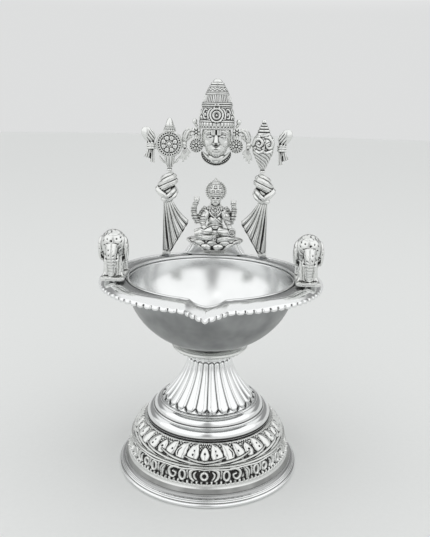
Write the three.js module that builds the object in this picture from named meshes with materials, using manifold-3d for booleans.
// Silver-plated brass oil lamp: a bowl with a pointed wick spout on a fluted foot, two elephants on its rim
// and, behind, a seated figure under a crowned head that hangs between a discus and a conch.
// Millimetres, +Z up. The origin is the centre of the underside, and the spout points along -Y.

import * as THREE from "three";
import { mergeVertices } from "three/addons/utils/BufferGeometryUtils.js";
import Module from "manifold-3d";

const wasm = await Module();
wasm.setup();

// Driving sizes, mm

const clearance = 0.3; // gap kept between neighbouring pieces

const footRadius = 40;
const footRimHeight = 4.3;
const footRimWidth = 4.8;
const basePlateThickness = 1.0;
const shellWall = 1.2;

const lowerBandHeight = 10.8;
const lowerBandFlare = 1.7; // how far the plain foot of the band spreads past its carving
const lowerBandRadius = 35.3;
const lowerLeafCount = 48;
const lowerLeafRelief = 1.1;
const lowerLeafStart = 0.34; // shares of the band's height between which its leaves stand
const lowerLeafEnd = 0.9;

const upperBandHeight = 7.2;
const upperBandSetBack = 1.4; // from the lower band's carving
const upperLeafCount = 40;
const upperLeafRelief = 0.9;
const upperLeafStart = 0.1;
const upperLeafLean = 2.6; // how far its leaves lean to the front as they rise
const leafSlope = 0.06; // share of a band's height over which a leaf reaches its full relief
const leafColumns = 4;
const leafTurnover = 0.25; // how gently the lean changes sides at the front and the back

const domeRadius = 27.7;
const domeHeight = 7.7;
const domeWeb = 1.0; // flat top that carries the stem

const stemBaseRadius = 20.6;
const stemNeckRadius = 9.7;
const stemHeight = 19.5;
const stemWall = 2.2;
const fluteCount = 24;
const fluteDepth = 1.1;
const fluteStart = 0.1; // share of the stem's height that stays plain below the flutes

const neckRingRadius = 10.7;
const neckRingHeight = 1.5;

const collarRadius = 16.4;
const collarHeight = 3.5;
const collarSeat = 1.3; // height of the collar's middle, on which the bowl sits
const collarPetals = 20;

const bowlRadius = 36;
const bowlDepth = 30.8;
const bowlWall = 1.0;

const flangeWidth = 7; // from the opening to the crest of the border
const plateThickness = 0.8;
const lipBead = 0.4; // raised line round the opening
const crestHeight = 1.3; // crest of the border above the underside of the plate
const borderWidth = 5.5;
const borderDrop = 1.6; // from the crest down to the tips of the teeth
const borderThickness = 1.2;
const borderTeeth = 92;
const toothDepth = 0.8;

const spoutReach = 7.9; // from the shoulders of the spout to the tip of its notch
const spoutTipReach = 9.3; // the same, along the outer edge of the border
const spoutHalfAngle = 10.8; // degrees, seen from the axis
const shoulderDip = 4.4; // how far the crest comes in beside the spout
const shoulderAngles = [12, 50]; // degrees from the front over which that dip fades out
const outerDip = 1.5; // the same for the edge of the border
const outerDipAngles = [15, 75];
const spoutLip = 1.9; // plate left between the notch and the border
const channelHalfWidth = 8.2;
const channelDepth = 5.0;
const channelWall = 0.8;
const channelTipHalfWidth = 1.4;
const channelTipDepth = 1.4;
const channelInset = 1.2; // the channel starts inside the bowl's wall and stops short of the notch's tip

const studRadius = 2;
const washerRadius = 6;
const washerThickness = 0.8;
const nutFlats = 7;
const nutHeight = 3.2;
const studTail = 1.5; // thread that shows past the nut

const elephantAngle = 77.75; // degrees from the front
const elephantInset = 1.5; // from the crest of the border
const elephantHeight = 20.6;
const plinthWidth = 9.6;
const plinthLength = 15.5;
const plinthHeight = 1.6;

const rivetRadius = 0.9;
const rivetHeadRadius = 1.6;
const rivetHeadHeight = 0.9;
const elephantRivetInset = 0.8; // from the middle of the elephant towards the axis
const scarfRivetInset = 0.7;

const figureInset = 2.4; // from the crest of the border
const bracketHalfWidth = 15;
const bracketThickness = 1.0;
const bracketDepth = 7.4;
const bracketHeight = 6.2;
const bracketScrewX = 11.8;
const bracketScrewInset = 1.9; // from the bracket's front edge
const lotusHalfWidth = 13.2;
const lotusHalfDepth = 7.2;
const lotusHeight = 6.4;
const lotusPetals = 14;
const figureHeight = 28.4;
const haloRadius = 5.3;
const haloThickness = 0.9;
const haloSetBack = 4.2;

const postX = 23.2;
const postInset = 0.67; // from the crest of the border
const scarfHeight = 25.6;
const scarfTopWidth = 4.6;
const scarfFootWidth = 3.4;
const scarfThickness = 2.0;
const scarfCornerReach = 11.2; // from the outer edge of the scarf to its inner corner
const scarfPleats = 4;
const knotHeight = 13.4;
const knotWidth = 10.8;
const knotDepth = 9.0;
const knotInset = 0.7; // towards the middle, from the middle of the scarf's foot
const emblemInset = 1.7;
const emblemHeight = 24.2; // from the foot of the discus holder to the tip of its finial
const discusHalfWidth = 6.1;
const discusHalfHeight = 6.8;
const discusThickness = 4.0;
const holderHeight = 5.2;
const holderRadius = 2.5;
const finialRadius = 2.8;
const conchHalfWidth = 5.7;
const conchDepthShare = 0.8;
const outerTieRadius = 1.5;
const innerTieRadius = 1.1;
const ribbonRadius = 1.35; // half the width of a ribbon's loop
const tailRadius = 1.5; // half the width of the end of its tails
const outerLoopHeight = 6.0;
const outerLoopReach = 4.4;
const innerLoopHeight = 6.2;
const ribbonTailLength = 7.6;

const crownHeight = 22.1;
const crownHalfWidth = 8.5;
const crownDepthShare = 0.8;
const headHalfWidth = 7.0;
const headHalfDepth = 6.4;
const headHalfHeight = 9.4;
const headRise = 16.0; // centre of the head above the foot of the discus holder
const earFlowerX = 9.5;
const earFlowerRadius = 2.3;
const earRosetteRadius = 2.9;
const earThickness = 3.0;
const earStemRadius = 1.2;
const earKnobRadius = 1.5;
const neckRadius = 3.4;
const neckCollarRadius = 8.3;
const neckCollarThickness = 2.2;
const neckCollarHalfAngle = 62;

// Levels and places, worked out from the sizes above

const toRadians = Math.PI / 180;

const lowerBandZ = footRimHeight + clearance;
const upperBandZ = lowerBandZ + lowerBandHeight + clearance;
const domeZ = upperBandZ + upperBandHeight + clearance;
const domeTopZ = domeZ + domeHeight;
const stemZ = domeTopZ + clearance;
const neckRingZ = stemZ + stemHeight + clearance;
const collarZ = neckRingZ + neckRingHeight + clearance;
const bowlBottomZ = collarZ + collarSeat + clearance;
const bowlTopZ = bowlBottomZ + bowlDepth;
const plateZ = bowlTopZ + clearance;
const plateTopZ = plateZ + plateThickness;
const crestZ = plateZ + crestHeight;
const deckZ = crestZ + clearance; // what stands on the rim starts here
const lotusZ = deckZ + bracketThickness + clearance;
const figureZ = lotusZ + lotusHeight + clearance;
const knotZ = deckZ + scarfHeight + clearance;
const emblemZ = knotZ + knotHeight + clearance;
const headZ = emblemZ + headRise;

const upperBandRadius = lowerBandRadius - upperBandSetBack;
const openingRadius = bowlRadius - bowlWall;
const crestRadius = openingRadius + flangeWidth;
const borderRadius = crestRadius + borderWidth;
const elephantX = (crestRadius - elephantInset) * Math.sin(elephantAngle * toRadians);
const elephantY = -(crestRadius - elephantInset) * Math.cos(elephantAngle * toRadians);
const archY = Math.sqrt((crestRadius - postInset) ** 2 - postX ** 2); // plane of the arch and the head
const figureY = crestRadius - figureInset;

// Shared helpers

function mix(a, b, t) {
  return a + (b - a) * t;
}

function smooth(low, high, value) {
  const t = Math.min(1, Math.max(0, (value - low) / (high - low)));
  return t * t * (3 - 2 * t);
}

// An indexed geometry with merged corners, no empty triangles and its faces pointing out
function closed(geometry) {
  const bare = new THREE.BufferGeometry();
  bare.setAttribute("position", geometry.getAttribute("position").clone());
  bare.setIndex(geometry.getIndex());
  const merged = mergeVertices(bare, 1e-4);
  const corners = merged.getAttribute("position");
  const index = merged.getIndex().array;
  const kept = [];
  const a = new THREE.Vector3();
  const b = new THREE.Vector3();
  const c = new THREE.Vector3();
  let volume = 0;
  for (let i = 0; i < index.length; i += 3) {
    const [p, q, r] = [index[i], index[i + 1], index[i + 2]];
    if (p === q || q === r || r === p) continue;
    kept.push(p, q, r);
    a.fromBufferAttribute(corners, p);
    b.fromBufferAttribute(corners, q);
    c.fromBufferAttribute(corners, r);
    volume += a.dot(b.cross(c)) / 6;
  }
  if (volume < 0) kept.reverse();
  merged.setIndex(kept);
  return merged;
}

function solidOf(geometry) {
  const shape = closed(geometry);
  const vertProperties = new Float32Array(shape.getAttribute("position").array);
  const triVerts = new Uint32Array(shape.getIndex().array);
  return new wasm.Manifold(new wasm.Mesh({ numProp: 3, vertProperties, triVerts }));
}

function geometryOf(solid) {
  const mesh = solid.getMesh();
  const geometry = new THREE.BufferGeometry();
  geometry.setAttribute("position", new THREE.Float32BufferAttribute(mesh.vertProperties, 3));
  geometry.setIndex(Array.from(mesh.triVerts));
  return geometry;
}

function join(parts) {
  return parts.map(solidOf).reduce((whole, part) => whole.add(part));
}

// Rows of points stitched into a skin. Each row closes on itself. The rows close on each other in a "loop";
// a "fan" closes each end round its middle, and a "strip" closes it across, for a row that runs out and back.
function skin(rows, ends) {
  const width = rows[0].length;
  const positions = rows.flat(2);
  const index = [];
  const last = ends === "loop" ? rows.length : rows.length - 1;
  for (let i = 0; i < last; i++) {
    const next = (i + 1) % rows.length;
    for (let j = 0; j < width; j++) {
      const side = (j + 1) % width;
      const [a, b, c, d] = [i * width + j, i * width + side, next * width + side, next * width + j];
      index.push(a, b, c, a, c, d);
    }
  }
  const capped = ends === "loop" ? [] : [0, rows.length - 1];
  for (const end of capped) {
    const cap = [];
    if (ends === "fan") {
      const middle = [0, 1, 2].map((k) => rows[end].reduce((sum, p) => sum + p[k], 0) / width);
      const centre = positions.length / 3;
      positions.push(...middle);
      for (let j = 0; j < width; j++) cap.push([centre, end * width + j, end * width + ((j + 1) % width)]);
    } else {
      for (let j = 0; j < width / 2 - 1; j++) {
        const [a, b, c, d] = [j, j + 1, width - 2 - j, width - 1 - j].map((k) => end * width + k);
        cap.push([d, a, b], [d, b, c]);
      }
    }
    for (const [p, q, r] of cap) index.push(...(end === 0 ? [p, r, q] : [p, q, r]));
  }
  const geometry = new THREE.BufferGeometry();
  geometry.setAttribute("position", new THREE.Float32BufferAttribute(positions, 3));
  geometry.setIndex(index);
  return geometry;
}

// A profile of [radius, height] points turned about Z. It closes on itself or starts and ends on the axis.
function turned(profile, segments) {
  const points = profile.map(([radius, height]) => new THREE.Vector2(radius, height));
  if (profile[0][0] > 0) points.push(points[0].clone());
  return new THREE.LatheGeometry(points, segments).rotateX(Math.PI / 2);
}

// The same, where each point may shift with the angle: shape(radius, height, angle) gives radius and height.
// Angle 0 is the front, -Y, and grows towards +X.
function carved(profile, angles, shape) {
  const rows = angles.map((angle) =>
    profile.map(([radius, height, ...rest]) => {
      const [r, z] = shape(radius, height, angle, ...rest);
      return [r * Math.sin(angle), -r * Math.cos(angle), z];
    }),
  );
  return skin(rows, "loop");
}

function evenAngles(count) {
  return Array.from({ length: count }, (_, i) => (2 * Math.PI * i) / count);
}

function ball(x, y, z, rx, ry = rx, rz = rx, turns = [0, 0, 0], detail = 9) {
  const geometry = new THREE.SphereGeometry(1, detail, Math.round(detail * 0.7));
  geometry.scale(rx, ry, rz);
  geometry.rotateX(turns[0] * toRadians).rotateY(turns[1] * toRadians).rotateZ(turns[2] * toRadians);
  return geometry.translate(x, y, z);
}

// A tapering round limb through the points, with one radius for each
function limb(points, radii, sides = 6) {
  const centres = points.map((p) => new THREE.Vector3(...p));
  const rows = centres.map((centre, i) => {
    const before = centres[Math.max(0, i - 1)];
    const after = centres[Math.min(centres.length - 1, i + 1)];
    const along = after.clone().sub(before).normalize();
    const guide = Math.abs(along.z) > 0.9 ? new THREE.Vector3(1, 0, 0) : new THREE.Vector3(0, 0, 1);
    const across = guide.clone().cross(along).normalize();
    const up = along.clone().cross(across);
    return Array.from({ length: sides }, (_, k) => {
      const angle = (2 * Math.PI * k) / sides;
      const point = centre.clone().addScaledVector(across, radii[i] * Math.cos(angle));
      return point.addScaledVector(up, radii[i] * Math.sin(angle)).toArray();
    });
  });
  return skin(rows, "fan");
}

function finishOf(colour, roughness) {
  return new THREE.MeshStandardMaterial({ color: colour, roughness, metalness: 1 });
}

const polishedSilver = finishOf("#e9eaea", 0.12);
const satinSilver = finishOf("#a9adaf", 0.3);
const castSilver = finishOf("#b9bab8", 0.35);
const steel = finishOf("#8b8d90", 0.4);
const brass = finishOf("#c9a24b", 0.35);

const lamp = new THREE.Group();

function addPiece(name, shape, finish, parent = lamp) {
  const geometry = shape.isBufferGeometry ? closed(shape) : geometryOf(shape);
  const mesh = new THREE.Mesh(geometry, finish.clone());
  mesh.name = name;
  parent.add(mesh);
  return mesh;
}

function groupAt(x, y, z, turn = 0) {
  const group = new THREE.Group();
  group.position.set(x, y, z);
  group.rotation.z = turn * toRadians;
  lamp.add(group);
  return group;
}

// Foot

function footRim() {
  const inner = footRadius - footRimWidth;
  const edge = lowerBandRadius + lowerBandFlare;
  const profile = [
    [inner, 0],
    [footRadius, 0],
    [footRadius + 0.2, footRimHeight * 0.22],
    [mix(footRadius, edge, 0.3), footRimHeight * 0.5],
    [mix(footRadius, edge, 0.45), footRimHeight * 0.56],
    [mix(footRadius, edge, 0.6), footRimHeight * 0.78],
    [edge, footRimHeight],
    [inner, footRimHeight],
  ];
  return turned(profile, 40);
}

function basePlate() {
  const radius = footRadius - footRimWidth - clearance;
  return new THREE.CylinderGeometry(radius, radius, basePlateThickness, 40)
    .rotateX(Math.PI / 2)
    .translate(0, 0, basePlateThickness / 2);
}

// Leaves stand side by side round a band. Each is a rounded swelling between two hollows,
// and leans to the front as it rises. The outline's points are [radius, height, share of the relief].
function leafBand(outline, leaves, relief, lean) {
  const [bottom, top] = [outline[0], outline[outline.length - 1]];
  const inner = [top, bottom].map(([radius, height]) => [radius - shellWall - relief, height, 0]);
  const rows = evenAngles(leaves * leafColumns).map((angle, i) => {
    const across = (2 * ((i + leafColumns / 2) % leafColumns)) / leafColumns - 1;
    const hollow = 1 - Math.sqrt(1 - across ** 2);
    const side = Math.sin(angle) / (Math.abs(Math.sin(angle)) + leafTurnover);
    return [...outline, ...inner].map(([radius, height, depth]) => {
      const rise = (height - bottom[1]) / (top[1] - bottom[1]);
      const turn = angle - (lean / bottom[0]) * rise ** 1.5 * side;
      const r = radius - relief * depth * hollow;
      return [r * Math.sin(turn), -r * Math.cos(turn), height];
    });
  });
  return skin(rows, "loop");
}

function footBandLower() {
  const z = (share) => lowerBandZ + lowerBandHeight * share;
  const r = (share) => mix(lowerBandRadius + 0.3, upperBandRadius + 0.5, smooth(lowerLeafStart, 1.2, share));
  const [start, end] = [lowerLeafStart, lowerLeafEnd];
  const leafShares = [start + leafSlope, mix(start, end, 0.5), end - leafSlope];
  const outline = [
    [lowerBandRadius + lowerBandFlare, z(0), 0],
    [lowerBandRadius + lowerBandFlare * 0.3, z(0.22), 0],
    [r(start), z(start), 0],
    ...leafShares.map((share) => [r(share), z(share), 1]),
    [r(end), z(end), 0],
    [r(1.2), z(1), 0],
  ];
  return leafBand(outline, lowerLeafCount, lowerLeafRelief, 0);
}

function footBandUpper() {
  const z = (share) => upperBandZ + upperBandHeight * share;
  const top = domeRadius + 0.9;
  const r = (share) => mix(upperBandRadius, top, share ** 1.45);
  const start = upperLeafStart;
  const leafShares = [start + leafSlope, mix(start, 1, 0.4), mix(start, 1, 0.7), 1 - leafSlope];
  const outline = [
    [upperBandRadius, z(0), 0],
    [r(start), z(start), 0],
    ...leafShares.map((share) => [r(share), z(share), 1]),
    [top, z(1), 0],
  ];
  return leafBand(outline, upperLeafCount, upperLeafRelief, upperLeafLean);
}

function footDome() {
  const shoulder = stemBaseRadius + 1.0;
  const z = (share) => domeZ + domeHeight * share;
  const r = (share) => mix(domeRadius, shoulder, share);
  const profile = [
    [domeRadius, z(0)],
    [r(0.3), z(0.38)],
    [r(0.46), z(0.47)],
    [r(0.5), z(0.54)],
    [r(0.78), z(0.78)],
    [shoulder, z(0.93)],
    [shoulder - 0.6, z(1)],
    [studRadius + clearance, z(1)],
    [studRadius + clearance, z(1) - domeWeb],
    [shoulder - shellWall - 0.8, z(1) - domeWeb],
    [r(0.5) - shellWall, z(0.42)],
    [domeRadius - shellWall, z(0)],
  ];
  return turned(profile, 36);
}

// Stem

function flutedStem() {
  const rows = 6;
  const outline = Array.from({ length: rows }, (_, i) => {
    const t = i / (rows - 1);
    const radius = stemNeckRadius + (stemBaseRadius - stemNeckRadius) * (1 - t) ** 1.75;
    return [radius, stemZ + stemHeight * t, smooth(0, fluteStart * 2, t) * (1 - 0.55 * t)];
  });
  const inner = outline.map(([radius, height]) => [radius - stemWall, height, 0]).reverse();
  return carved([...outline, ...inner], evenAngles(fluteCount * 3), (radius, height, angle, depth) => {
    const groove = Math.max(0, Math.cos(fluteCount * angle));
    return [radius - fluteDepth * depth * groove, height];
  });
}

function neckRing() {
  const bore = studRadius + clearance;
  const profile = [
    [bore, neckRingZ],
    [neckRingRadius - 0.5, neckRingZ],
    [neckRingRadius, neckRingZ + neckRingHeight * 0.5],
    [neckRingRadius - 0.5, neckRingZ + neckRingHeight],
    [bore, neckRingZ + neckRingHeight],
  ];
  return turned(profile, 24);
}

function bowlOuterZ(radius) {
  return bowlTopZ - bowlDepth * Math.sqrt(Math.max(0, 1 - (radius / bowlRadius) ** 2));
}

function collar() {
  const bore = studRadius + clearance;
  const lipZ = collarZ + collarHeight;
  const under = (radius) => bowlOuterZ(radius) - clearance;
  const profile = [
    [bore, collarZ, 0],
    [neckRingRadius - 1.2, collarZ, 0],
    [mix(neckRingRadius, collarRadius, 0.4), collarZ + collarHeight * 0.42, 0.7],
    [collarRadius, lipZ - 0.7, 1],
    [collarRadius - 0.2, lipZ - 0.1, 1],
    [collarRadius - 1.6, Math.min(lipZ, under(collarRadius - 1.6)), 0],
    [collarRadius - 3.4, under(collarRadius - 3.4) - 0.5, 0],
    [collarRadius * 0.5, under(collarRadius * 0.5), 0],
    [bore, under(bore), 0],
  ];
  return carved(profile, evenAngles(collarPetals * 2), (radius, height, angle, depth) => [
    radius + 0.5 * depth * Math.cos(collarPetals * angle),
    height,
  ]);
}

// Bowl and rim

function bowlShell() {
  const steps = 8;
  const arc = (radius, depth) =>
    Array.from({ length: steps }, (_, i) => {
      const angle = (Math.PI / 2) * (i / (steps - 1));
      return [i === 0 ? 0 : radius * Math.sin(angle), bowlTopZ - depth * Math.cos(angle)];
    });
  const outer = arc(bowlRadius, bowlDepth);
  const inner = arc(bowlRadius - bowlWall, bowlDepth - bowlWall).reverse();
  return turned([...outer, ...inner], 40);
}

// Angle from the front, in degrees, the same on both sides
function frontAngle(angle) {
  const turn = Math.atan2(Math.sin(angle), Math.cos(angle));
  return Math.abs(turn) / toRadians;
}

function crestAt(angle) {
  const side = frontAngle(angle);
  const dip = shoulderDip * (1 - smooth(...shoulderAngles, side));
  const notch = Math.max(0, 1 - (side / spoutHalfAngle) ** 1.6);
  return crestRadius - dip + spoutReach * notch;
}

function borderEdgeAt(angle) {
  const side = frontAngle(angle);
  const dip = outerDip * (1 - smooth(...outerDipAngles, side));
  const tip = Math.max(0, 1 - side / spoutHalfAngle) ** 1.1;
  return borderRadius - dip + spoutTipReach * tip;
}

function openingAt(angle) {
  const inSpout = 1 - smooth(spoutHalfAngle, spoutHalfAngle * 1.6, frontAngle(angle));
  return openingRadius + (crestAt(angle) - spoutLip - openingRadius) * inSpout;
}

// Two steps to a tooth; away from the spout the plate needs only every third of them.
function rimAngles(everyThird) {
  const fine = evenAngles(borderTeeth * 2);
  return everyThird ? fine.filter((angle, i) => frontAngle(angle) < 32 || i % 3 === 0) : fine;
}

function rimPlate() {
  const profile = [
    [0, plateZ],
    [1, plateZ],
    [1, plateTopZ],
    [0.25, plateTopZ],
    [0.12, plateTopZ + lipBead],
    [0, plateTopZ],
  ];
  return carved(profile, rimAngles(true), (share, height, angle) => [
    mix(openingAt(angle), crestAt(angle) - clearance, share),
    height,
  ]);
}

function rimBorder() {
  const under = crestZ - borderThickness;
  const profile = [
    [0, under, 0],
    [0, crestZ, 0],
    [0.62, crestZ - borderDrop * 0.25, 1],
    [1, crestZ - borderDrop, 1],
    [0.85, under - borderDrop * 0.55, 0],
  ];
  return carved(profile, rimAngles(false), (share, height, angle, depth) => {
    const tooth = 0.5 + 0.5 * Math.cos(borderTeeth * angle);
    const edge = borderEdgeAt(angle) - toothDepth * depth * (1 - tooth);
    return [mix(crestAt(angle), edge, share), height - 0.3 * depth * (1 - tooth) * share];
  });
}

// A trough under the notch of the plate, from inside the bowl's wall to the tip of the spout
function channelRows(grow, thickness) {
  const steps = 6;
  const start = openingRadius - channelInset;
  const end = crestRadius - shoulderDip + spoutReach - channelInset;
  return Array.from({ length: steps }, (_, i) => {
    const t = i / (steps - 1);
    const y = mix(start, end, t);
    const half = mix(channelHalfWidth, channelTipHalfWidth, t ** 0.8) + grow;
    const depth = mix(channelDepth, channelTipDepth, t) + grow * 3;
    const top = plateZ - clearance + grow * 2;
    const across = [-1, -0.82, -0.45, 0, 0.45, 0.82, 1];
    const outer = across.map((s) => [half * s, -y, top - depth * (1 - s ** 4)]);
    const inner = across.map((s) => {
      const side = (half - thickness) * s;
      return [side, -y, top - Math.max(0, depth - thickness) * (1 - s ** 4)];
    });
    return thickness > 0 ? [...outer, ...inner.reverse()] : outer;
  });
}

function spoutChannel() {
  return skin(channelRows(0, channelWall), "strip");
}

function channelRoom() {
  return skin(channelRows(clearance, 0), "fan");
}

// Fasteners

function tieStud() {
  const top = bowlBottomZ - clearance;
  const low = domeTopZ - domeWeb - clearance * 2 - washerThickness - nutHeight - studTail;
  return new THREE.CylinderGeometry(studRadius, studRadius, top - low, 12)
    .rotateX(Math.PI / 2)
    .translate(0, 0, (top + low) / 2);
}

function drilledDisc(outerRadius, bore, low, high, sides) {
  const profile = [
    [bore, low],
    [outerRadius, low],
    [outerRadius, high],
    [bore, high],
  ];
  return turned(profile, sides);
}

function tieWasher() {
  const top = domeTopZ - domeWeb - clearance;
  return drilledDisc(washerRadius, studRadius + clearance, top - washerThickness, top, 16);
}

function tieNut() {
  const top = domeTopZ - domeWeb - clearance * 2 - washerThickness;
  const cornerRadius = nutFlats / 2 / Math.cos(Math.PI / 6);
  const corners = Array.from({ length: 6 }, (_, i) => {
    const angle = (Math.PI / 3) * i;
    return new THREE.Vector2(cornerRadius * Math.cos(angle), cornerRadius * Math.sin(angle));
  });
  const hexagon = new THREE.Shape(corners);
  hexagon.holes.push(new THREE.Path().absarc(0, 0, studRadius + clearance, 0, 2 * Math.PI));
  return new THREE.ExtrudeGeometry(hexagon, { depth: nutHeight, bevelEnabled: false, curveSegments: 12 })
    .translate(0, 0, top - nutHeight);
}

// A rivet with its head under the rim plate and its shank up to the foot of what it holds
function rivet(x, y) {
  const headTop = plateZ - clearance;
  const profile = [
    [0, headTop - rivetHeadHeight],
    [rivetHeadRadius * 0.8, headTop - rivetHeadHeight * 0.7],
    [rivetHeadRadius, headTop],
    [rivetRadius, headTop],
    [rivetRadius, deckZ - clearance],
    [0, deckZ - clearance],
  ];
  return turned(profile, 8).translate(x, y, 0);
}

// A screw with its head on the bracket and its shank down through the plate
function bracketScrew(x, y) {
  const headLow = deckZ + bracketThickness + clearance;
  const profile = [
    [0, plateZ - rivetHeadHeight],
    [rivetRadius, plateZ - rivetHeadHeight],
    [rivetRadius, headLow],
    [rivetHeadRadius, headLow],
    [rivetHeadRadius * 0.85, headLow + rivetHeadHeight * 0.8],
    [0, headLow + rivetHeadHeight],
  ];
  return turned(profile, 8).translate(x, y, 0);
}

function drillHole(x, y) {
  const radius = rivetRadius + clearance;
  const low = plateZ - plateThickness;
  const height = deckZ + bracketThickness * 2 - low;
  return new THREE.CylinderGeometry(radius, radius, height, 10)
    .rotateX(Math.PI / 2)
    .translate(x, y, low + height / 2);
}

const bracketFrontY = figureY - bracketDepth / 2;
const screwY = bracketFrontY + bracketScrewInset;
const postRivetX = postX - scarfRivetInset;
const postRivetY = archY - scarfRivetInset;
const rimFasteners = {
  elephant_rivet_left: [-elephantX + elephantRivetInset, elephantY],
  elephant_rivet_right: [elephantX - elephantRivetInset, elephantY],
  scarf_rivet_left: [-postRivetX, postRivetY],
  scarf_rivet_right: [postRivetX, postRivetY],
};
const bracketScrews = {
  bracket_screw_left: [-bracketScrewX, screwY],
  bracket_screw_right: [bracketScrewX, screwY],
};

// Elephants, standing on z = 0 and facing -Y

function elephant() {
  const h = elephantHeight;
  const w = plinthWidth;
  const l = plinthLength;
  const plinth = new THREE.BoxGeometry(w, l, plinthHeight).translate(0, 0, plinthHeight / 2);
  const footZ = plinthHeight * 0.88; // feet and trunk are sunk a little into the plinth
  const parts = [
    plinth,
    ball(0, l * 0.12, h * 0.48, w * 0.52, l * 0.42, h * 0.27),
    ball(0, -l * 0.24, h * 0.72, w * 0.45, l * 0.25, h * 0.25),
    limb(
      [[0, -l * 0.4, h * 0.66], [0, -l * 0.46, h * 0.42], [0, -l * 0.44, h * 0.2], [0, -l * 0.4, footZ]],
      [w * 0.22, w * 0.17, w * 0.13, w * 0.12],
    ),
  ];
  for (const side of [-1, 1]) {
    parts.push(
      ball(side * w * 0.17, -l * 0.27, h * 0.91, w * 0.2, l * 0.13, h * 0.09, [0, 0, 0], 7),
      ball(side * w * 0.53, -l * 0.16, h * 0.7, w * 0.13, l * 0.15, h * 0.2, [0, 0, 0], 7),
    );
    for (const y of [-l * 0.2, l * 0.34]) {
      const x = side * w * 0.3;
      parts.push(limb([[x, y, footZ], [x, y, h * 0.45]], [w * 0.19, w * 0.22], 7));
    }
  }
  return join(parts);
}

// Figure, its bracket and its lotus

function figureBracket() {
  const half = bracketHalfWidth;
  const tab = new THREE.BoxGeometry(half * 2, bracketDepth, bracketThickness)
    .translate(0, 0, bracketThickness / 2);
  const flank = new THREE.Shape();
  flank.moveTo(-half, 0);
  flank.lineTo(half, 0);
  flank.quadraticCurveTo(half * 0.72, bracketHeight * 0.3, half * 0.68, bracketHeight);
  flank.lineTo(-half * 0.68, bracketHeight);
  flank.quadraticCurveTo(-half * 0.72, bracketHeight * 0.3, -half, 0);
  const sheet = { depth: bracketThickness, bevelEnabled: false, curveSegments: 6 };
  const back = new THREE.ExtrudeGeometry(flank, sheet)
    .rotateX(Math.PI / 2)
    .translate(0, bracketDepth / 2, 0);
  let solid = join([tab, back]);
  for (const [x, y] of Object.values(bracketScrews)) {
    solid = solid.subtract(solidOf(drillHole(x, y - figureY).translate(0, 0, -deckZ)));
  }
  const lotusRoom = lotusSeat().scale(1.04, 1.08, 1).translate(0, 0, bracketThickness);
  return solid.subtract(solidOf(lotusRoom));
}

function lotusSeat() {
  const drum = lotusHalfWidth * 0.58;
  const h = lotusHeight;
  const profile = [
    [0, 0, 0],
    [drum, 0, 0],
    [drum * 1.05, h * 0.14, 0.3],
    [drum * 0.94, h * 0.34, 0],
    [drum * 1.12, h * 0.46, 0.4],
    [lotusHalfWidth * 0.86, h * 0.7, 1],
    [lotusHalfWidth, h * 0.94, 1],
    [lotusHalfWidth * 0.94, h, 0.6],
    [lotusHalfWidth * 0.82, h, 0],
    [0, h, 0],
  ];
  const lobes = carved(profile, evenAngles(lotusPetals * 2), (radius, height, angle, depth) => [
    radius - lotusHalfWidth * 0.07 * depth * (0.5 + 0.5 * Math.cos(lotusPetals * angle)),
    height,
  ]);
  return lobes.scale(1, lotusHalfDepth / lotusHalfWidth, 1);
}

const figureUnitCount = 28.4; // the figure is drawn in units of its own, this many to its height

// Seated on z = 0 with crossed legs, four arms and a tall crown, facing -Y
function seatedFigure() {
  const crownProfile = [[0, 20.6], [3.0, 20.6], [2.8, 22.6], [1.9, 25], [0.7, 27.4], [0, figureUnitCount]];
  const parts = [
    ball(0, 0.8, 2.9, 5.2, 3.8, 2.9),
    ball(0, 0.8, 8.4, 3.5, 2.5, 5.0),
    ball(0, 0.6, 11.6, 4.6, 2.7, 2.8),
    limb([[0, 0.6, 13], [0, 0.4, 17.5]], [1.6, 1.4]),
    ball(0, 0.1, 19.3, 2.5, 2.4, 3.0),
    turned(crownProfile, 10),
  ];
  for (const side of [-1, 1]) {
    const thigh = [[2.2, 0.8, 2.6], [8.9, -1.8, 2.4], [9.4, -2.6, 2.2]];
    const shin = [[9.0, -2.6, 2.0], [-1.0, -5.0, 1.9]];
    const lowerArm = [[4.2, 0.6, 12.6], [6.4, -0.4, 8.2], [5.2, -4.2, 5.6]];
    const raisedArm = [[4.4, 1.0, 12.6], [8.0, 1.4, 8.8], [8.5, 0.4, 16.6]];
    parts.push(
      sided(limb(thigh, [2.6, 2.2, 1.6]), side),
      sided(limb(shin, [1.9, 1.4]), side),
      sided(limb(lowerArm, [1.5, 1.3, 1.0]), side),
      sided(limb(raisedArm, [1.4, 1.3, 0.9]), side),
      ball(side * 8.6, 0.2, 17.9, 1.4, 1.1, 1.7, [0, 0, 0], 7),
    );
  }
  parts.push(ball(7.6, -4.4, 4.6, 1.9, 0.9, 1.9, [0, 0, 0], 7));
  const size = figureUnitCount * 2;
  const below = new THREE.BoxGeometry(size, size, size).translate(0, 0, -size / 2);
  const unit = figureHeight / figureUnitCount;
  return join(parts).subtract(solidOf(below)).scale([unit, unit, unit]);
}

function figureHalo() {
  const profile = [
    [0, 0],
    [haloRadius * 0.9, 0],
    [haloRadius, haloThickness * 0.5],
    [haloRadius * 0.9, haloThickness],
    [0, haloThickness],
  ];
  return turned(profile, 24).rotateX(Math.PI / 2);
}

// Arch: scarves, knots, emblems, ribbons and the crowned head. Each side is built for +X and mirrored for -X.

function sided(geometry, side) {
  return side > 0 ? geometry : geometry.scale(-1, 1, 1);
}

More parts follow.
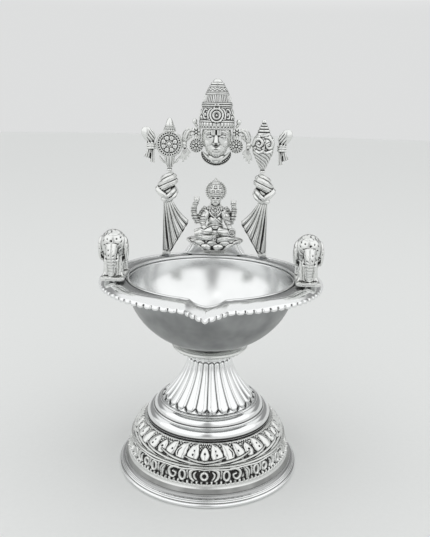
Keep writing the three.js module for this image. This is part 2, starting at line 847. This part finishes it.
// A pleated cloth of cast metal: straight outer edge, gathered top, its inner corner drawn out sideways
function scarf(side) {
  const rows = 8;
  const columns = scarfPleats * 2 + 1;
  const cornerShare = 0.34; // how far down the inner corner lies
  const outerX = scarfFootWidth / 2;
  const flare = (t) => smooth(0, cornerShare * 1.3, t) / smooth(0, cornerShare * 1.3, cornerShare);
  const section = (t) => {
    const width = t < cornerShare
      ? mix(scarfTopWidth, scarfCornerReach, flare(t))
      : mix(scarfCornerReach, scarfFootWidth, (t - cornerShare) / (1 - cornerShare));
    const z = scarfHeight * (1 - t);
    const front = [];
    const back = [];
    for (let j = 0; j < columns; j++) {
      const s = j / (columns - 1);
      const x = outerX - width * s;
      const pleat = (j % 2 === 0 ? -1 : 1) * 0.16 * scarfThickness;
      front.push([x, -scarfThickness / 2 - pleat, z]);
      back.push([x, scarfThickness / 2 - pleat, z]);
    }
    return [...front, ...back.reverse()];
  };
  const stations = Array.from({ length: rows }, (_, i) => i / (rows - 1));
  stations.push(cornerShare);
  return sided(skin(stations.sort((a, b) => a - b).map(section), "strip"), side);
}

// Two rolls of cloth wound over each other
function knot(side) {
  const [w, d, h] = [knotWidth, knotDepth, knotHeight];
  const lower = ball(-w * 0.03, 0, h * 0.31, w * 0.46, d * 0.5, h * 0.3, [0, 14, 0]);
  const upper = ball(w * 0.02, 0, h * 0.65, w * 0.43, d * 0.46, h * 0.33, [0, -22, 0]);
  const roll = ball(0, -d * 0.22, h * 0.5, w * 0.5, d * 0.3, h * 0.17, [0, -28, 0]);
  const solid = join([lower, upper, roll].map((shape) => sided(shape, side)));
  const above = new THREE.BoxGeometry(w * 3, d * 3, h).translate(0, 0, h * 1.5);
  const below = new THREE.BoxGeometry(w * 3, d * 3, h).translate(0, 0, -h * 0.5);
  return solid.subtract(solidOf(above)).subtract(solidOf(below));
}

const emblemX = postX - emblemInset;
const discusZ = holderHeight + clearance + discusHalfHeight;
const finialZ = discusZ + discusHalfHeight + clearance;

function discusHolder() {
  const profile = [
    [0, 0],
    [holderRadius * 0.4, 0],
    [holderRadius * 0.48, holderHeight * 0.12],
    [holderRadius * 0.4, holderHeight * 0.22],
    [holderRadius, holderHeight],
    [0, holderHeight],
  ];
  return turned(profile, 12);
}

function discus() {
  const r = discusHalfWidth;
  const t = discusThickness / 2;
  const profile = [
    [0, -t * 1.15],
    [r * 0.2, -t],
    [r * 0.62, -t * 0.72],
    [r * 0.7, -t * 0.5],
    [r * 0.86, -t * 0.95],
    [r, -t * 0.4],
    [r, t * 0.4],
    [r * 0.86, t * 0.8],
    [0, t * 0.8],
  ];
  return turned(profile, 24).rotateX(-Math.PI / 2).scale(1, 1, discusHalfHeight / discusHalfWidth);
}

function discusFinial() {
  const h = emblemHeight - finialZ;
  const r = finialRadius;
  const profile = [
    [0, 0],
    [r * 0.93, 0],
    [r, h * 0.14],
    [r * 0.75, h * 0.3],
    [r * 0.79, h * 0.42],
    [r * 0.54, h * 0.56],
    [r * 0.46, h * 0.8],
    [0, h],
  ];
  return turned(profile, 14);
}

function conch() {
  const h = emblemHeight;
  const r = conchHalfWidth;
  const profile = [
    [0, 0],
    [r * 0.2, 0],
    [r * 0.24, h * 0.06],
    [r * 0.42, h * 0.16],
    [r * 0.78, h * 0.34],
    [r, h * 0.5],
    [r * 0.92, h * 0.64],
    [r * 0.62, h * 0.75],
    [r * 0.5, h * 0.78],
    [r * 0.52, h * 0.83],
    [r * 0.34, h * 0.86],
    [r * 0.36, h * 0.91],
    [r * 0.2, h * 0.94],
    [0, h],
  ];
  return turned(profile, 14).scale(1, conchDepthShare, 1);
}

const outerTieX = emblemX + discusHalfWidth + clearance + outerTieRadius;
const innerTieX = emblemX - discusHalfWidth - clearance - innerTieRadius;
const innerSpan = innerTieX - earFlowerX - earRosetteRadius; // from the inner tie to the ear's rosette

// A tied ribbon about its tie, a loop above and two tails below; +X is away from the head. A tail's end is in
// shares of reach and of the tails' length.
function ribbon(side, loop, tieRadius, reach, tailShares) {
  const parts = [ball(0, 0, 0, tieRadius, tieRadius, tieRadius, [0, 0, 0], 7), loop];
  for (const [x, z] of tailShares) {
    const end = [x * reach, 0, z * ribbonTailLength];
    const middle = [end[0] / 2, tieRadius * 0.25, end[2] / 2];
    parts.push(limb([[0, 0, 0], middle, end], [tailRadius * 0.45, tailRadius * 0.8, tailRadius], 7));
  }
  return join(parts.map((shape) => sided(shape, side)));
}

// The loop leans away from the emblem as one long oval.
function outerRibbon(side) {
  const [x, z] = [outerLoopReach * 0.5, outerLoopHeight * 0.56];
  const loop = ball(x, 0, z, ribbonRadius * 1.35, ribbonRadius, outerLoopHeight * 0.6, [0, 32, 0]);
  return ribbon(side, loop, outerTieRadius, outerLoopReach, [[-0.09, -1], [0.59, -0.82]]);
}

// The loop rises and bends over towards the ear.
function innerRibbon(side) {
  const line = [[0, 0.06], [0.39, 0.55], [-0.23, 1], [-1.24, 0.95]];
  const points = line.map(([x, z]) => [x * innerSpan, 0, z * innerLoopHeight]);
  const loop = limb(points, [0.5, 1, 1, 0.5].map((share) => ribbonRadius * share), 7);
  return ribbon(side, loop, innerTieRadius, innerSpan, [[-1.38, -0.87], [0.57, -0.97]]);
}

// The head's centre is z = 0
function headShape(grow) {
  return ball(0, 0, 0, headHalfWidth + grow, headHalfDepth + grow, headHalfHeight + grow, [0, 0, 0], 14);
}

const crownBaseZ = headHalfHeight * 0.34;

function neckPost(grow) {
  const line = [[0, neckRadius * 0.12, -headHalfHeight * 0.5], [0, neckRadius * 0.18, -headHalfHeight * 1.3]];
  return limb(line, [neckRadius + grow, neckRadius * 1.06 + grow], 10);
}

function crownedHead() {
  const [w, d, h] = [headHalfWidth, headHalfDepth, headHalfHeight];
  const nose = limb([[0, -d * 0.94, h * 0.15], [0, -d * 1.13, -h * 0.17]], [w * 0.09, w * 0.16], 6);
  const solid = join([headShape(0), neckPost(0), nose]);
  const above = new THREE.BoxGeometry(w * 4, d * 4, h * 2).translate(0, 0, crownBaseZ + h);
  return solid.subtract(solidOf(above));
}

function crown() {
  const h = crownHeight;
  const r = crownHalfWidth;
  const profile = [
    [0, 0],
    [r * 0.94, 0],
    [r, h * 0.05],
    [r * 0.96, h * 0.14],
    [r * 0.99, h * 0.2],
    [r * 0.9, h * 0.38],
    [r * 0.92, h * 0.42],
    [r * 0.84, h * 0.46],
    [r * 0.72, h * 0.64],
    [r * 0.62, h * 0.7],
    [r * 0.5, h * 0.8],
    [r * 0.3, h * 0.93],
    [r * 0.16, h],
    [0, h],
  ];
  return turned(profile, 18).scale(1, crownDepthShare, 1);
}

function button(x, z, radius, thickness) {
  return new THREE.CylinderGeometry(radius, radius * 0.85, thickness, 12)
    .rotateX(Math.PI / 2)
    .translate(x, 0, z);
}

function earOrnament(side) {
  const shapes = [
    button(earFlowerX, -headHalfHeight * 0.5, earRosetteRadius, earThickness),
    button(earFlowerX, headHalfHeight * 0.23, earFlowerRadius, earThickness),
    limb(
      [[earFlowerX, 0, -headHalfHeight * 0.5], [earFlowerX, 0, headHalfHeight * 0.6]],
      [earStemRadius, earStemRadius * 0.83],
      7,
    ),
    ball(
      earFlowerX + earKnobRadius * 0.27, 0, headHalfHeight * 0.7,
      earKnobRadius, earKnobRadius, earKnobRadius,
      [0, 0, 0], 7,
    ),
  ];
  const nearby = join([headShape(clearance), crown().scale(1.05, 1.05, 1).translate(0, 0, crownBaseZ)]);
  return join(shapes.map((shape) => sided(shape, side))).subtract(nearby);
}

function neckCollar() {
  const steps = 8;
  const arc = Array.from({ length: steps + 1 }, (_, i) => {
    const angle = mix(-neckCollarHalfAngle, neckCollarHalfAngle, i / steps) * toRadians;
    const reach = neckCollarRadius;
    return [reach * Math.sin(angle), -headHalfDepth * 0.19, -headHalfHeight * 0.45 - reach * Math.cos(angle)];
  });
  const radii = arc.map((_, i) => (neckCollarThickness / 2) * (i === 0 || i === steps ? 0.5 : 1));
  return solidOf(limb(arc, radii, 8)).subtract(join([headShape(clearance), neckPost(clearance)]));
}

// Assembly

addPiece("foot_rim", footRim(), polishedSilver);
addPiece("base_plate", basePlate(), brass);
addPiece("foot_band_lower", footBandLower(), castSilver);
addPiece("foot_band_upper", footBandUpper(), castSilver);
addPiece("foot_dome", footDome(), polishedSilver);
addPiece("fluted_stem", flutedStem(), polishedSilver);
addPiece("neck_ring", neckRing(), polishedSilver);
addPiece("collar", collar(), castSilver);
addPiece("tie_stud", tieStud(), steel);
addPiece("tie_washer", tieWasher(), steel);
addPiece("tie_nut", tieNut(), steel);

addPiece("bowl", solidOf(bowlShell()).subtract(solidOf(channelRoom())), satinSilver);
addPiece("spout_channel", spoutChannel(), polishedSilver);
const holePlaces = [...Object.values(rimFasteners), ...Object.values(bracketScrews)];
const holes = join(holePlaces.map((place) => drillHole(...place)));
addPiece("rim_plate", solidOf(rimPlate()).subtract(holes), satinSilver);
addPiece("rim_border", rimBorder(), polishedSilver);
for (const [name, place] of Object.entries(rimFasteners)) addPiece(name, rivet(...place), steel);
for (const [name, place] of Object.entries(bracketScrews)) addPiece(name, bracketScrew(...place), steel);

for (const [name, side] of [["elephant_left", -1], ["elephant_right", 1]]) {
  addPiece(name, elephant(), castSilver, groupAt(side * elephantX, elephantY, deckZ));
}

addPiece("figure_bracket", figureBracket(), polishedSilver, groupAt(0, figureY, deckZ));
addPiece("lotus_seat", lotusSeat(), castSilver, groupAt(0, figureY, lotusZ));
addPiece("seated_figure", seatedFigure(), castSilver, groupAt(0, figureY, figureZ));
const haloGroup = groupAt(0, figureY + haloSetBack, figureZ + figureHeight * 0.76);
addPiece("figure_halo", figureHalo(), castSilver, haloGroup);

for (const [suffix, side] of [["left", -1], ["right", 1]]) {
  addPiece(`scarf_${suffix}`, scarf(side), castSilver, groupAt(side * postX, archY, deckZ));
  addPiece(`knot_${suffix}`, knot(side), castSilver, groupAt(side * (postX - knotInset), archY, knotZ));
}

const leftEmblem = groupAt(-emblemX, archY, emblemZ);
addPiece("discus_holder", discusHolder(), castSilver, leftEmblem);
addPiece("discus", discus(), castSilver, leftEmblem).position.z = discusZ;
addPiece("discus_finial", discusFinial(), castSilver, leftEmblem).position.z = finialZ;
addPiece("conch", conch(), castSilver, groupAt(emblemX, archY, emblemZ));

for (const [suffix, side] of [["left", -1], ["right", 1]]) {
  const outerGroup = groupAt(side * outerTieX, archY, emblemZ + discusZ);
  addPiece(`outer_ribbon_${suffix}`, outerRibbon(side), castSilver, outerGroup);
  const innerGroup = groupAt(side * innerTieX, archY, emblemZ + discusZ);
  addPiece(`inner_ribbon_${suffix}`, innerRibbon(side), castSilver, innerGroup);
}

const headGroup = groupAt(0, archY, headZ);
addPiece("crowned_head", crownedHead(), castSilver, headGroup);
addPiece("crown", crown(), castSilver, headGroup).position.z = crownBaseZ + clearance;
addPiece("neck_collar", neckCollar(), castSilver, headGroup);
for (const [suffix, side] of [["left", -1], ["right", 1]]) {
  addPiece(`ear_ornament_${suffix}`, earOrnament(side), castSilver, headGroup);
}

export default lamp;
